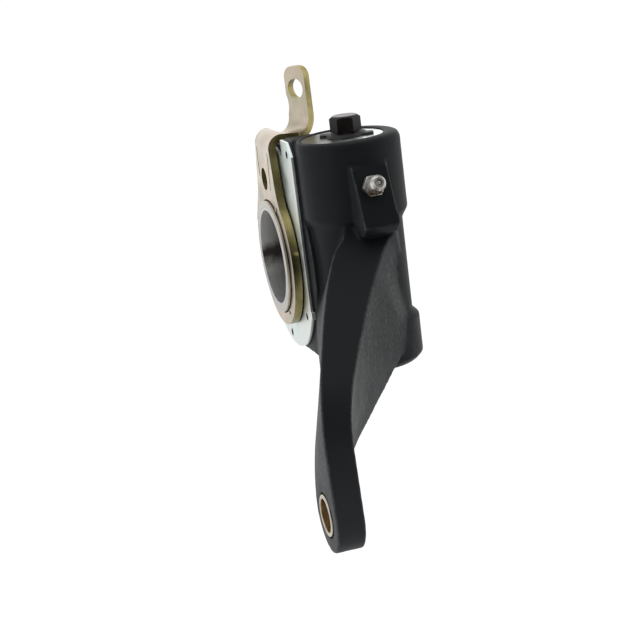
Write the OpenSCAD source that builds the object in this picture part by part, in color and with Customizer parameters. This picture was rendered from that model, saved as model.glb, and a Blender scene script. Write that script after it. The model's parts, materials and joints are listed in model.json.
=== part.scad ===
// Automatic brake slack adjuster: worm, worm wheel, clutch pinion, rack and control arm
// in a housing with a cranked lever arm.
// X runs along the camshaft, Z along the worm, the lever arm reaches towards -Y and -Z.
// Origin on the camshaft axis, in the plane through the worm axis.

/* [Gear set] */
// Distance between the camshaft axis and the worm axis
worm_dist = 42; // [40:0.5:46]
// Number of worm wheel teeth
wheel_teeth = 24; // [22:1:26]
// Pitch radius of the single-start worm
worm_pitch_r = 12; // [11:0.25:13]
// Free play of the worm thread along its axis
thread_play = 1.2; // [0.9:0.1:1.6]
// Width of the worm wheel teeth
wheel_face_w = 13; // [10:0.5:15]
// Outer radius of the worm wheel collar
collar_r = 26.5; // [25:0.25:26.75]
// Distance of the collar face from the worm plane
collar_face = 31; // [30.5:0.5:36]
// Radius of the counterbore in the collar
collar_bore_r = 22.2; // [21:0.2:23.5]
// Depth of the counterbore in the collar
collar_bore_depth = 13; // [8:1:18]
// Number of camshaft spline teeth
spline_teeth = 28; // [20:1:37]
// Radius of the spline tooth tips
spline_tip_r = 17.6; // [16.5:0.1:18]
// Radius of the spline tooth roots
spline_root_r = 19.3; // [18.8:0.1:20]
// Radial clearance of turning journals
journal_play = 0.06; // [0.03:0.01:0.09]

/* [Housing] */
// Radius of the wheel chamber wall outside
hub_r = 44.5; // [43:0.5:48]
// Distance of the left housing face from the worm plane
hub_left = 23.2; // [22.8:0.1:23.8]
// Distance of the right housing face from the worm plane
hub_right = 20; // [18:0.5:24]
// Outer radius of the worm barrel lands
barrel_r = 23.2; // [22.6:0.1:25]
// Outer radius of the barrel waist
waist_r = 20.4; // [19.5:0.1:21.5]
// Height of the barrel top face
barrel_top = 58.2; // [57:0.1:62]
// Depth of the barrel bottom face
barrel_bottom = 45.5; // [44:0.5:52]
// Length of the top land
land_top = 34.5; // [32:0.5:38]
// Length of the bottom land
land_bottom = 19.5; // [16:0.5:22]
// Radius of the worm bore
worm_bore_r = 17; // [16.8:0.1:17.6]
// Width of the nipple pad
pad_w = 16.5; // [13:0.5:18]
// Lean of the nipple pad face from upright
pad_lean = 20; // [16:1:24]
// Turn of the nipple pad round the barrel
pad_turn = 4; // [0:1:12]

/* [Lever arm] */
// Distance from the camshaft axis to the clevis bush axis
arm_len = 147.7; // [140:0.1:155]
// Angle of the line to the bush from straight down
arm_angle = 56.9; // [54:0.1:60]
// Angle of the upper edge of the arm from straight down
edge_angle = 53.1; // [52:0.1:54]
// Length of the upper edge up to the bend
edge_len = 86; // [82:0.5:90]
// Height of the arm across its upper edge
arm_height = 45.5; // [42:0.5:48]
// Arm thickness at the root
arm_t_root = 24.5; // [22:0.1:26]
// Arm thickness at the eye
arm_t_eye = 12; // [10:0.1:14]
// Distance of the eye's left face from the worm plane
eye_left = 49.8; // [47:0.1:52]
// Radius of the eye
eye_r = 15.7; // [14.5:0.1:17]
// Radius of the clevis pin hole in the bush
bush_bore_r = 7; // [6:0.1:8]
// Wall of the clevis bush
bush_wall = 1.7; // [1.5:0.1:3]
// Stand-out of the bush from the eye faces
bush_proud = 0.5; // [0.2:0.1:1.5]

/* [Cover] */
// Thickness of the cover plate
plate_t = 1.2; // [1:0.1:2.2]
// Thickness of the cover gasket
gasket_t = 0.8; // [0.5:0.1:1.2]
// Near edge of the cover plate from the camshaft axis
plate_near = 37.5; // [36:0.5:40]
// Top edge of the cover plate
plate_top = 57; // [54:0.1:57.5]

/* [Control arm] */
// Thickness of the control arm
ctl_t = 3.6; // [3:0.1:4]
// Gap between the cover plate and the control arm
ctl_gap = 0.8; // [0.3:0.05:1]
// Radius of the control arm ring
ring_r = 32.6; // [32:0.1:35]
// Width of the neck at its top bend
neck_w = 26.5; // [22:0.5:28]
// Radius of the neck hole
neck_hole_r = 5.25; // [4:0.05:6]
// Inner radius of the neck bend
bend_r = 3; // [2.5:0.1:4]
// Inner radius of the tab bend
tab_bend_r = 6.5; // [4:0.1:7]
// Underside height of the flat between the bends
flat_z = 55; // [54.8:0.1:57]
// Width of the anchor tab
tab_w = 12.4; // [11:0.2:14]
// Height of the tab end
tab_top = 87.3; // [84:0.1:92]
// Distance of the neck's near edge from the camshaft axis
neck_near = 14; // [12:0.5:15]
// Reach of the flat between the bends
flat_reach = 15.3; // [14:0.1:17]
// Turn of the tab towards the near side
tab_turn = 31.6; // [20:0.2:36]
// Radius of the tab hole
tab_hole_r = 4.6; // [3.5:0.1:5]

/* [Adjusting screw] */
// Hexagon across flats
hex_af = 12; // [11:0.5:13]
// Height of the hexagon
hex_h = 7; // [6:0.1:10]
// Radius of the worm journals
journal_r = 8.9; // [8:0.1:9]
// Number of clutch pinion teeth
pinion_teeth = 16; // [14:1:18]
// Pitch radius of the clutch pinion
pinion_pitch_r = 12; // [11.5:0.1:12.5]
// Height of the rack and pinion centre
rack_z = 34; // [33.6:0.1:34.4]
// Height of the top bearing
bearing_h = 6.8; // [5:0.1:8]
// Thickness of the thrust washer
thrust_t = 2.6; // [2:0.1:3]
// Thickness of the spring seat
seat_t = 1.6; // [1:0.1:2]
// Thickness of the bottom plug
plug_t = 5; // [4:0.1:6]

/* [Hidden] */
$fn = 96;

wheel_pitch_r = worm_dist - worm_pitch_r;
gear_module = 2 * wheel_pitch_r / wheel_teeth;
lead = PI * gear_module;
lead_angle = atan(lead / (2 * PI * worm_pitch_r));
wheel_tip_r = wheel_pitch_r + 0.85 * gear_module;
wheel_root_r = wheel_pitch_r - 1.12 * gear_module;
worm_tip_r = worm_pitch_r + 0.85 * gear_module;
worm_root_r = worm_pitch_r - 1.12 * gear_module;
thread_half = 2.25 * lead;
chamber_r = wheel_tip_r + 1;
recess_floor = wheel_face_w / 2 + 1.2;
ring_groove_w = 2.4;
ring_groove_in = 3;
side_play = 0.1;

plate_in = hub_left + gasket_t;
plate_out = plate_in + plate_t;
ctl_in = plate_out + ctl_gap;
ctl_out = ctl_in + ctl_t;
sleeve_in_r = collar_r + 0.55;
sleeve_out_r = sleeve_in_r + 2.5;
seal_out_r = sleeve_out_r + 2.4;
recess_r = max(wheel_tip_r + 2.3, seal_out_r + 0.5);
disc_out = hub_left - 2.2;
disc_in = disc_out - 3;
disc_r = recess_r - 1.5;
notch_r = sleeve_in_r + 1.6;
notch_half = 4.4;

up_y = -sin(edge_angle);
up_z = -cos(edge_angle);
root_y = -worm_dist - 24;
root_z = 17;
bush_y = -arm_len * sin(arm_angle);
bush_z = -arm_len * cos(arm_angle);
bend_top = [root_y + up_y * edge_len, root_z + up_z * edge_len];
bend_low = [bend_top[0] - up_z * arm_height, bend_top[1] + up_y * arm_height];
eye_right = eye_left - arm_t_eye;
arm_root_left = 14.2;
bend_soft = 14;
soft_top = towards(bend_top, tangent_point(bend_top, eye_r, 1), bend_soft);
soft_low = towards(bend_low, tangent_point(bend_low, eye_r, -1), bend_soft);
bush_out_r = bush_bore_r + bush_wall;

end_bore_r = worm_bore_r + 1.4;
end_shift = -2.2;
pad_down = 10.4;
pad_h = 26;
pad_out = barrel_r + 0.4;
end_seat = barrel_top - 2.6;
end_cover_t = 1.8;
grommet_z = end_seat + end_cover_t;
neck_hex_r = hex_af / 2 + 0.6;
hex_base = barrel_top + 1.4;
hex_corner_r = hex_af / sqrt(3);
neck_relief = 0.8;
flange_z = 20.2;
thrust_top = -thread_half - 6.4;
seat_low = thrust_top - thrust_t - seat_t;
pinion_module = 2 * pinion_pitch_r / pinion_teeth;
pinion_tip_r = pinion_pitch_r + 0.7 * pinion_module;
pinion_root_r = pinion_pitch_r - 0.95 * pinion_module;
rack_h = 5.6;
bearing_z = rack_z + rack_h / 2 + 3.4;
neck_low = bearing_z + bearing_h + 2;
rack_line = pinion_pitch_r + 0.15;
rack_root = rack_line + 0.95 * pinion_module;
rack_back = rack_root + 2.9;
rack_near = worm_dist + 13.3;
screw_spots = [[-30.5, 51.5], [-30, -23.4], [5, -39.4], [31, -24.6], [38.2, 11]];
corner_gap = 6.6;
lip_w = 3.6;
lip_low = -23.2;
eye_ring_w = 0.8;
top_web = bearing_z + bearing_h + 0.4;
hex_turn = -17;
ear_turn = -34.6;
ear_len = 24.8;
ear_w = 6;
groove_depth = 0.4;
nipple_hex_r = 5;
nipple_hex_h = 3.2;
nipple_head_h = 6.6;
ball_r = 1.2;

// Cylinder along X from x0 to x1
module along_x(r, x0, x1) {
    translate([x0, 0, 0])
        rotate([0, 90, 0])
            cylinder(r = r, h = x1 - x0);
}

// Flat outline given in Y and Z, drawn from x0 to x1
module plate_x(x0, x1) {
    translate([x0, 0, 0])
        rotate([90, 0, 90])
            linear_extrude(height = x1 - x0)
                children();
}

// Places children on the worm axis
module at_worm() {
    translate([0, -worm_dist, 0])
        children();
}

// Ring about the worm axis
module worm_ring(r_out, r_in, z0, z1) {
    at_worm()
        translate([0, 0, z0])
            difference() {
                cylinder(r = r_out, h = z1 - z0);
                translate([0, 0, -1])
                    cylinder(r = r_in, h = z1 - z0 + 2);
            }
}

// Ring about the camshaft axis
module cam_ring(r_out, r_in, x0, x1) {
    difference() {
        along_x(r_out, x0, x1);
        along_x(r_in, x0 - 1, x1 + 1);
    }
}

// Points on a helix strip: one row of radius and height pairs repeated along the turn
function helix_rows(row, turns, pitch, seg, start) = [
    for (i = [0 : turns * seg])
        for (p = row)
            let (a = start + 360 * i / seg)
                [p[0] * cos(a), p[0] * sin(a), p[1] + pitch * (i / seg - turns / 2)]
];

// Faces that close such a strip
function helix_faces(n, rows) = concat(
    [[for (k = [n - 1 : -1 : 0]) k]],
    [for (i = [0 : rows - 2]) for (k = [0 : n - 1])
        [i * n + k, i * n + (k + 1) % n, (i + 1) * n + k]],
    [for (i = [0 : rows - 2]) for (k = [0 : n - 1])
        [i * n + (k + 1) % n, (i + 1) * n + (k + 1) % n, (i + 1) * n + k]],
    [[for (k = [0 : n - 1]) (rows - 1) * n + k]]
);

// Solid swept along a helix about Z
module helix(row, turns, pitch, seg, start) {
    polyhedron(
        points = helix_rows(row, turns, pitch, seg, start),
        faces = helix_faces(len(row), turns * seg + 1)
    );
}

// Coil of round-ish wire about Z
module coil(r, wire_r, turns, pitch) {
    helix([for (k = [0 : 5]) [r + wire_r * cos(60 * k), wire_r * sin(60 * k)]], turns, pitch, 16, 0);
}

// Thickness of the arm at the share u of its length
function arm_t(u) = arm_t_root + (arm_t_eye - arm_t_root) * u;

// Left end of the upper edge at the share u
function arm_left(u) = -arm_root_left - (eye_left - arm_root_left) * pow(u, 0.72);

// Right end of the lower edge at the share u
function arm_low(u) = min(waist_r + 1.6 - 21 * u, -eye_right + 0.85 * edge_len * (1 - u));

// Left end of the lower edge at the share u
function arm_low_left(u) =
    -hub_left + 0.4 - (eye_left - hub_left + 0.4) * u + 2.8 * pow(sin(180 * u), 3);

// Point of the upper edge in Y and Z at the share u
function edge_at(u) = [root_y, root_z] + edge_len * u * [up_y, up_z];

// Point of the lower edge in Y and Z at the share u
function low_at(u) = edge_at(u) + arm_height * [-up_z, up_y];

// Corner points of one arm section
function arm_row(u) =
    let (
        top = edge_at(u),
        low = low_at(u)
    )
    [
        [arm_left(u), top[0], top[1]],
        [arm_left(u) + arm_t(u), top[0], top[1]],
        [arm_low(u), low[0], low[1]],
        [arm_low_left(u), low[0], low[1]]
    ];

// Corner points of a section of the upright end
function eye_row(top, low) = [
    [-eye_left, top[0], top[1]],
    [-eye_right, top[0], top[1]],
    [-eye_right, low[0], low[1]],
    [-eye_left, low[0], low[1]]
];

// Row of points on the curves from row a to row c that aim at row b
function bend_row(a, b, c, t) = [
    for (i = [0 : 3])
        (1 - t) * (1 - t) * a[i] + 2 * t * (1 - t) * b[i] + t * t * c[i]
];

// Point moved from p towards q by d
function towards(p, q, d) = p + (q - p) * (d / norm(q - p));

// Slanting web of the arm from inside the barrel to past the bend
module arm_web() {
    web_steps = 18;
    bend_steps = 18;
    soft_u = 0.8;
    root_top = edge_at(-0.3);
    root_low = low_at(-0.3);
    bush = [bush_y, bush_z];
    root_row = [
        [-2, root_top[0], root_top[1]],
        [16, root_top[0], root_top[1]],
        [waist_r + 1.2, -worm_dist + 6, 8],
        [-hub_left + 0.4, root_low[0], root_low[1]]
    ];
    soft_row = eye_row(soft_top, soft_low);
    last_row = eye_row(towards(soft_top, bush, 5), towards(soft_low, bush, 5));
    rows = concat(
        [root_row],
        [for (i = [0 : web_steps - 1]) arm_row(soft_u * i / web_steps)],
        [for (i = [0 : bend_steps]) bend_row(arm_row(soft_u), arm_row(1), soft_row, i / bend_steps)],
        [last_row]
    );
    polyhedron(
        points = [for (r = rows) each r],
        faces = helix_faces(4, len(rows))
    );
}

// Web that fills the corner between the hub and the underside of the arm
module gusset() {
    plate_x(-hub_left + 0.2, 0)
        polygon([[-2, -hub_r + 0.3], low_at(0.4), low_at(0), [0, -hub_r / 2]]);
}

// Angle of the tangent from p to a circle of radius r about the bush axis
function tangent_point(p, r, side) =
    let (
        v = p - [bush_y, bush_z],
        a = atan2(v[1], v[0]) + side * acos(r / norm(v))
    )
    [bush_y + r * cos(a), bush_z + r * sin(a)];

// Upright end of the arm with the eye
module arm_eye() {
    plate_x(-eye_left, -eye_right) {
        translate([bush_y, bush_z])
            circle(r = eye_r);
        polygon([
            soft_top,
            tangent_point(bend_top, eye_r, 1),
            [bush_y, bush_z],
            tangent_point(bend_low, eye_r, -1),
            soft_low
        ]);
    }
}

// Outline of the cover, less its inner opening
module cover_outline(grow) {
    difference() {
        intersection() {
            union() {
                circle(r = hub_r - 0.6 + grow);
                polygon([
                    [-plate_near - 9, -10],
                    [-plate_near - 9, plate_top - 15],
                    [-plate_near + 6, plate_top + grow],
                    [-neck_near - corner_gap, plate_top + grow],
                    [-neck_near - corner_gap, 0]
                ]);
                intersection() {
                    circle(r = flat_z - bend_r + 0.4 + grow);
                    polygon([
                        [-neck_near - corner_gap - 1, 0],
                        [-neck_near - corner_gap - 1, 70],
                        [8 + grow, 70],
                        [8 + grow, plate_top - 2],
                        [22 + grow, 34],
                        [22 + grow, 0]
                    ]);
                }
            }
            translate([-plate_near - grow, -60])
                square([120, 130]);
        }
        circle(r = seal_out_r + 0.1);
    }
}

// Barrel with lands, waist and chamfers
module barrel() {
    z1 = barrel_top;
    z2 = barrel_top - land_top;
    z3 = -barrel_bottom + land_bottom;
    z4 = -barrel_bottom;
    step = barrel_r - waist_r;
    at_worm()
        rotate_extrude()
            polygon([
                [0, z1],
                [barrel_r - 3, z1],
                [barrel_r - 0.9, z1 - 0.9],
                [barrel_r, z1 - 3],
                [barrel_r, z2],
                [waist_r, z2 - 1.6 * step],
                [waist_r, z3 + step],
                [barrel_r, z3],
                [barrel_r, z4 + 2.5],
                [barrel_r - 2.5, z4],
                [0, z4]
            ]);
}

// Pad that carries the grease nipple
module nipple_pad() {
    top = barrel_top - pad_down;
    low = top - pad_h;
    out = pad_out + pad_h * tan(pad_lean);
    at_worm()
        rotate([0, 0, pad_turn])
            translate([-pad_w / 2, 0, 0])
                rotate([90, 0, 90])
                    linear_extrude(height = pad_w)
                        polygon([
                            [-pad_out + 9, top],
                            [-pad_out + 1.2, top],
                            [-pad_out, top - 1.2],
                            [-out, low],
                            [-out + 4, low - 4],
                            [-pad_out + 9, low - 6]
                        ]);
}

// Places children on the nipple axis, Z outwards, zero on the pad face
module at_nipple() {
    down = 9.5;
    at_worm()
        rotate([0, 0, pad_turn])
            translate([-0.8, -pad_out - down * tan(pad_lean), barrel_top - pad_down - down])
                rotate([90 - pad_lean, 0, 0])
                    children();
}

module housing() {
    color([0.14, 0.15, 0.16])
        difference() {
            union() {
                along_x(hub_r, -hub_left, hub_right);
                barrel();
                plate_x(-hub_left, -8)
                    difference() {
                        cover_outline(0.6);
                        circle(r = 20);
                    }
                nipple_pad();
                arm_web();
                gusset();
                arm_eye();
            }
            plate_x(-hub_left - 9, -hub_left)
                cover_outline(1);
            along_x(recess_r, -hub_left - 9, -recess_floor);
            along_x(chamber_r, -recess_floor - 1, recess_floor);
            along_x(collar_r + journal_play, recess_floor - 1, hub_right + 1);
            along_x(collar_r + 2.1, hub_right - ring_groove_in - ring_groove_w, hub_right - ring_groove_in);
            at_worm()
                translate([0, 0, -barrel_bottom - 1])
                    cylinder(r = worm_bore_r, h = barrel_bottom + top_web + 1);
            at_worm()
                cylinder(r = journal_r + 0.5, h = barrel_top);
            at_worm()
                translate([end_shift, 0, end_seat])
                    cylinder(r = end_bore_r, h = 20);
            translate([-rack_back - 0.6, -rack_near - 1, rack_z - rack_h / 2 - 0.6])
                cube([rack_back + 0.6, rack_near + 19, rack_h + 1.2]);
            translate([-disc_out - 0.6, -4.2, rack_z - rack_h / 2 - 0.6])
                cube([disc_out + 0.6, 22.2, rack_h + 1.2]);
            translate([0, bush_y, bush_z])
                along_x(bush_out_r, -eye_left - 2, -eye_right + 2);
            translate([0, bush_y, bush_z])
                along_x(bush_out_r + eye_ring_w, -eye_left - 2, -eye_left + eye_ring_w);
            translate([0, bush_y, bush_z])
                along_x(bush_out_r + eye_ring_w, -eye_right - eye_ring_w, -eye_right + 2);
            for (p = screw_spots)
                translate([0, p[0], p[1]])
                    along_x(1.7, -hub_left - 1, -hub_left + 6);
            at_nipple()
                translate([0, 0, -14])
                    cylinder(r = 2.6, h = 20);
        }
}

module clevis_bush() {
    color([0.72, 0.62, 0.42])
        translate([0, bush_y, bush_z])
            difference() {
                along_x(bush_out_r, -eye_left - bush_proud, -eye_right + bush_proud);
                along_x(bush_bore_r, -eye_left - bush_proud - 1, -eye_right + bush_proud + 1);
            }
}

module cover_gasket() {
    color([0.1, 0.1, 0.1])
        difference() {
            union() {
                plate_x(-plate_in, -hub_left)
                    cover_outline(0);
                plate_x(-plate_in, -hub_left)
                    translate([-plate_near, -18])
                        square([4, 56]);
            }
            for (p = screw_spots)
                translate([0, p[0], p[1]])
                    along_x(1.7, -plate_in - 1, -hub_left + 1);
        }
}

module cover_plate() {
    color([0.86, 0.88, 0.87])
        difference() {
            union() {
                plate_x(-plate_out, -plate_in)
                    cover_outline(0);
                translate([-plate_out, -plate_near - plate_t, lip_low])
                    cube([plate_out - hub_left - side_play, plate_t, lip_w]);
                translate([-plate_out, -plate_near - plate_t, lip_low])
                    cube([plate_t, plate_t + 2, lip_w]);
            }
            for (p = screw_spots)
                translate([0, p[0], p[1]])
                    along_x(2.4, -plate_out - 1, -plate_in + 1);
        }
}

module cover_screws() {
    color([0.8, 0.82, 0.82])
        for (p = screw_spots)
            translate([0, p[0], p[1]]) {
                along_x(2.3, -plate_out - 0.1, -plate_in);
                along_x(1.6, -plate_in - 0.1, -hub_left + 5);
            }
}

module control_seal() {
    color([0.08, 0.08, 0.08])
        cam_ring(seal_out_r, sleeve_out_r + 0.3, -plate_out + 0.1, -hub_left + 0.6);
}

module wheel_seal() {
    color([0.08, 0.08, 0.08])
        cam_ring(
            collar_r + 2,
            collar_r + 0.35,
            hub_right - ring_groove_in - ring_groove_w + side_play,
            hub_right - ring_groove_in - side_play
        );
}

module grease_nipple() {
    color([0.78, 0.79, 0.78])
        at_nipple()
            difference() {
                union() {
                    translate([0, 0, -8])
                        cylinder(r = 2.5, h = 8.2);
                    intersection() {
                        translate([0, 0, 0.05])
                            cylinder(r = nipple_hex_r, h = nipple_hex_h, $fn = 6);
                        rotate_extrude()
                            polygon([
                                [0, 0],
                                [nipple_hex_r, 0],
                                [nipple_hex_r, nipple_hex_h - 0.5],
                                [nipple_hex_r - 0.9, nipple_hex_h + 0.05],
                                [0, nipple_hex_h + 0.05]
                            ]);
                    }
                    translate([0, 0, nipple_hex_h])
                        rotate_extrude()
                            polygon([
                                [0, 0],
                                [3.2, 0],
                                [2.7, 1.6],
                                [2.7, 2.4],
                                [3.6, 3.5],
                                [3.6, 4.6],
                                [2.2, nipple_head_h],
                                [0, nipple_head_h]
                            ]);
                }
                translate([0, 0, nipple_hex_h + nipple_head_h - 2.6])
                    cylinder(r = ball_r + 0.05, h = 4);
            }
}

module nipple_ball() {
    color([0.6, 0.6, 0.6])
        at_nipple()
            translate([0, 0, nipple_hex_h + nipple_head_h - 1.4])
                sphere(r = ball_r);
}

module end_cover() {
    color([0.85, 0.86, 0.84])
        at_worm()
            difference() {
                translate([end_shift, 0, end_seat])
                    cylinder(r = end_bore_r - 0.1, h = end_cover_t);
                translate([0, 0, end_seat - 1])
                    cylinder(r = neck_hex_r + 1.4, h = end_cover_t + 2);
            }
}

module hex_grommet() {
    color([0.07, 0.07, 0.07])
        at_worm()
            difference() {
                union() {
                    rotate_extrude()
                        polygon([
                            [0, grommet_z - end_cover_t],
                            [neck_hex_r + 1.3, grommet_z - end_cover_t],
                            [neck_hex_r + 1.3, grommet_z + 0.02],
                            [neck_hex_r + 2.6, grommet_z + 0.02],
                            [neck_hex_r + 2, grommet_z + 1.4],
                            [0, grommet_z + 1.4]
                        ]);
                    translate([0, 0, grommet_z + 0.02])
                        rotate([0, 0, ear_turn])
                            linear_extrude(height = 1.2) {
                                square([ear_len - ear_w, ear_w], center = true);
                                translate([ear_len / 2 - ear_w / 2, 0])
                                    circle(r = ear_w / 2);
                                translate([ear_w / 2 - ear_len / 2, 0])
                                    circle(r = ear_w / 2);
                            }
                }
                translate([0, 0, grommet_z - end_cover_t - 1])
                    cylinder(r = neck_hex_r + 0.35, h = 8);
            }
}

module top_bearing() {
    color([0.7, 0.58, 0.36])
        worm_ring(worm_bore_r - 0.05, journal_r + journal_play, bearing_z, bearing_z + bearing_h);
}

module thrust_washer() {
    color([0.62, 0.63, 0.64])
        worm_ring(worm_bore_r - 0.4, journal_r + 0.6, thrust_top - thrust_t, thrust_top);
}

module spring_seat() {
    color([0.45, 0.46, 0.47])
        worm_ring(worm_bore_r - 0.5, journal_r * 0.6, seat_low, seat_low + seat_t);
}

module coil_spring() {
    top = seat_low;
    low = -barrel_bottom + plug_t;
    wire = 1.6;
    turns = 3;
    color([0.35, 0.36, 0.38])
        at_worm()
            translate([0, 0, (top + low) / 2])
                coil(12.4, wire, turns, (top - low - 2 * wire - 0.1) / turns);
}

module bottom_plug() {
    color([0.3, 0.31, 0.32])
        difference() {
            at_worm()
                translate([0, 0, -barrel_bottom + 0.4])
                    cylinder(r = worm_bore_r - 0.05, h = plug_t - 0.4);
            at_worm()
                translate([0, 0, -barrel_bottom])
                    cylinder(r = 5.8, h = 3, $fn = 6);
        }
}

module worm_screw() {
    flank = gear_module * 0.36;
    half = lead / 4 - thread_play / 2;
    color([0.16, 0.14, 0.13])
        at_worm()
            union() {
                translate([0, 0, thrust_top - thrust_t + 0.4])
                    cylinder(r = journal_r, h = -thread_half - thrust_top + thrust_t);
                translate([0, 0, thrust_top + 0.3])
                    cylinder(r = worm_bore_r - 2.5, h = 2.4);
                translate([0, 0, -thread_half])
                    cylinder(r = worm_root_r, h = 2 * thread_half + 1);
                helix(
                    [
                        [worm_root_r - 0.6, -half - flank],
                        [worm_tip_r, -half + flank],
                        [worm_tip_r, half - flank],
                        [worm_root_r - 0.6, half + flank]
                    ],
                    4, lead, 18, 90
                );
                translate([0, 0, thread_half])
                    cylinder(r = journal_r, h = neck_low + 1 - thread_half);
                translate([0, 0, neck_low])
                    cylinder(r = neck_hex_r, h = hex_base - neck_low - neck_relief);
                translate([0, 0, hex_base - neck_relief])
                    cylinder(r1 = neck_hex_r, r2 = hex_af / 2 - 0.4, h = neck_relief);
                translate([0, 0, hex_base])
                    intersection() {
                        rotate([0, 0, hex_turn])
                            cylinder(r = hex_corner_r, h = hex_h + 1, $fn = 6);
                        rotate_extrude()
                            polygon([
                                [0, -1],
                                [hex_corner_r + 1, -1],
                                [hex_corner_r + 1, hex_h - 1.9],
                                [hex_corner_r - 1.7, hex_h],
                                [0, hex_h]
                            ]);
                    }
            }
}

module clutch_sleeve() {
    color([0.5, 0.51, 0.52])
        worm_ring(worm_bore_r - 2.8, journal_r, flange_z, flange_z + 4);
}

// One straight worm wheel tooth, leaning with the worm lead
module wheel_tooth() {
    half = lead / 4 - 0.25;
    flank = gear_module * 0.36;
    translate([0, -wheel_pitch_r, 0])
        rotate([0, lead_angle, 0])
            translate([-wheel_face_w / 2, 0, 0])
                rotate([90, 0, 90])
                    linear_extrude(height = wheel_face_w)
                        polygon([
                            [1.12 * gear_module + 1, -half - flank],
                            [-0.85 * gear_module, -half + flank],
                            [-0.85 * gear_module, half - flank],
                            [1.12 * gear_module + 1, half + flank]
                        ]);
}

// Ring of spline gaps
module spline_outline() {
    circle(r = spline_tip_r);
    for (i = [0 : spline_teeth - 1])
        rotate(360 * i / spline_teeth)
            polygon([
                [spline_tip_r - 1, -1.35],
                [spline_root_r, -0.8],
                [spline_root_r, 0.8],
                [spline_tip_r - 1, 1.35]
            ]);
}

module worm_wheel() {
    end = hub_right + 3;
    color([0.62, 0.63, 0.63])
        difference() {
            union() {
                along_x(collar_r, -collar_face, end);
                along_x(wheel_root_r, -wheel_face_w / 2 - 0.4, wheel_face_w / 2 + 0.4);
                for (i = [0 : wheel_teeth - 1])
                    rotate([360 * (i + 0.5) / wheel_teeth, 0, 0])
                        wheel_tooth();
            }
            plate_x(-collar_face - 1, end + 1)
                spline_outline();
            along_x(collar_bore_r, -collar_face - 1, -collar_face + collar_bore_depth);
            along_x(collar_bore_r - 1.5, end - 8, end + 1);
            cam_ring(collar_r + 1, collar_r - 1.7, hub_right + 0.6, hub_right + 2.2);
        }
}

module retaining_ring() {
    color([0.25, 0.25, 0.26])
        difference() {
            cam_ring(collar_r + 2.4, collar_r - 1.65, hub_right + 0.65, hub_right + 2.15);
            translate([hub_right, -3, collar_r - 5])
                cube([4, 6, 10]);
        }
}

// Flat outline of ring and neck in Y and Z
module ctl_outline() {
    difference() {
        union() {
            circle(r = ring_r);
            polygon([
                [-neck_near, flat_z - bend_r],
                [-16.4, 36],
                [-17.6, 31],
                [-20.6, 25],
                [-20, 0],
                [24, 0],
                [31, 13],
                [19.5, 29],
                [neck_w - neck_near, flat_z - bend_r]
            ]);
        }
        circle(r = sleeve_in_r);
        translate([2, 36.7])
            circle(r = neck_hole_r);
    }
}

module control_arm() {
    tab_x = -ctl_in + bend_r + flat_reach;
    tab_off = tab_bend_r + ctl_t / 2;
    near = [tab_x - tab_off * cos(tab_turn), -neck_near - tab_off * sin(tab_turn)];
    far = near + tab_w * [-sin(tab_turn), cos(tab_turn)];
    flat_far = [-ctl_in + bend_r, neck_w - neck_near];
    flare = far - 1.6 * [cos(tab_turn), sin(tab_turn)];
    tab_low = flat_z + ctl_t + tab_bend_r;
    waist = 12;
    color([0.8, 0.74, 0.55])
        union() {
            difference() {
                plate_x(-ctl_out, -ctl_in)
                    ctl_outline();
                plate_x(-ctl_out - 1, -ctl_out + groove_depth) {
                    polygon([[-10.9, 50.4], [-9.9, 50.4], [-8.8, 42.5], [-6.9, 32.4], [-7.9, 32.4], [-9.8, 42.5]]);
                    polygon([[9.2, 51], [10.2, 51], [11.1, 44.5], [11.5, 36.8], [10.5, 36.8], [10.1, 44.5]]);
                }
            }
            translate([-ctl_in + bend_r, neck_w - neck_near, flat_z - bend_r])
                rotate([90, 0, 0])
                    rotate([0, 0, 90])
                        rotate_extrude(angle = 90)
                            translate([bend_r, 0])
                                square([ctl_t, neck_w]);
            translate([0, 0, flat_z])
                linear_extrude(height = ctl_t)
                    polygon(concat(
                        [[-ctl_in + bend_r, -neck_near], near],
                        [for (t = [0 : 0.125 : 1])
                            (1 - t) * (1 - t) * far + 2 * t * (1 - t) * flare + t * t * flat_far]
                    ));
            translate([near[0], near[1], 0])
                rotate([0, 0, tab_turn]) {
                    translate([-0.4, 0, flat_z])
                        cube([0.4, tab_w, ctl_t]);
                    translate([0, tab_w, tab_low])
                        rotate([90, 0, 0])
                            rotate([0, 0, -90])
                                rotate_extrude(angle = 90)
                                    translate([tab_bend_r, 0])
                                        square([ctl_t, tab_w]);
                    translate([tab_bend_r, 0, 0])
                        rotate([90, 0, 90])
                            linear_extrude(height = ctl_t)
                                difference() {
                                    union() {
                                        translate([0, tab_low])
                                            square([tab_w, tab_top - tab_low - 5]);
                                        translate([5, tab_top - 5])
                                            circle(r = 5);
                                        translate([tab_w - 5, tab_top - 5])
                                            circle(r = 5);
                                        translate([5, tab_top - 8])
                                            square([tab_w - 10, 8]);
                                    }
                                    translate([tab_w / 2, tab_top - 10.2])
                                        circle(r = tab_hole_r);
                                    translate([tab_w + waist - 0.9, tab_low + 5])
                                        circle(r = waist);
                                }
                }
        }
}

module control_disc() {
    color([0.5, 0.51, 0.52])
        difference() {
            union() {
                along_x(sleeve_out_r, -ctl_in, -disc_in);
                along_x(disc_r, -disc_out, -disc_in);
            }
            along_x(sleeve_in_r, -ctl_in - 1, -disc_in + 1);
            difference() {
                translate([-disc_out - 1, -notch_half, 20])
                    cube([disc_out - disc_in + 2, 2 * notch_half, 20]);
                along_x(notch_r, -disc_out - 2, -disc_in + 2);
            }
        }
}

module disc_rivets() {
    color([0.66, 0.66, 0.62])
        for (a = [30, 150, 270])
            rotate([a, 0, 0])
                translate([0, 0, (sleeve_in_r + sleeve_out_r) / 2])
                    along_x(0.85, -ctl_out - 0.5, -ctl_out);
}

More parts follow.
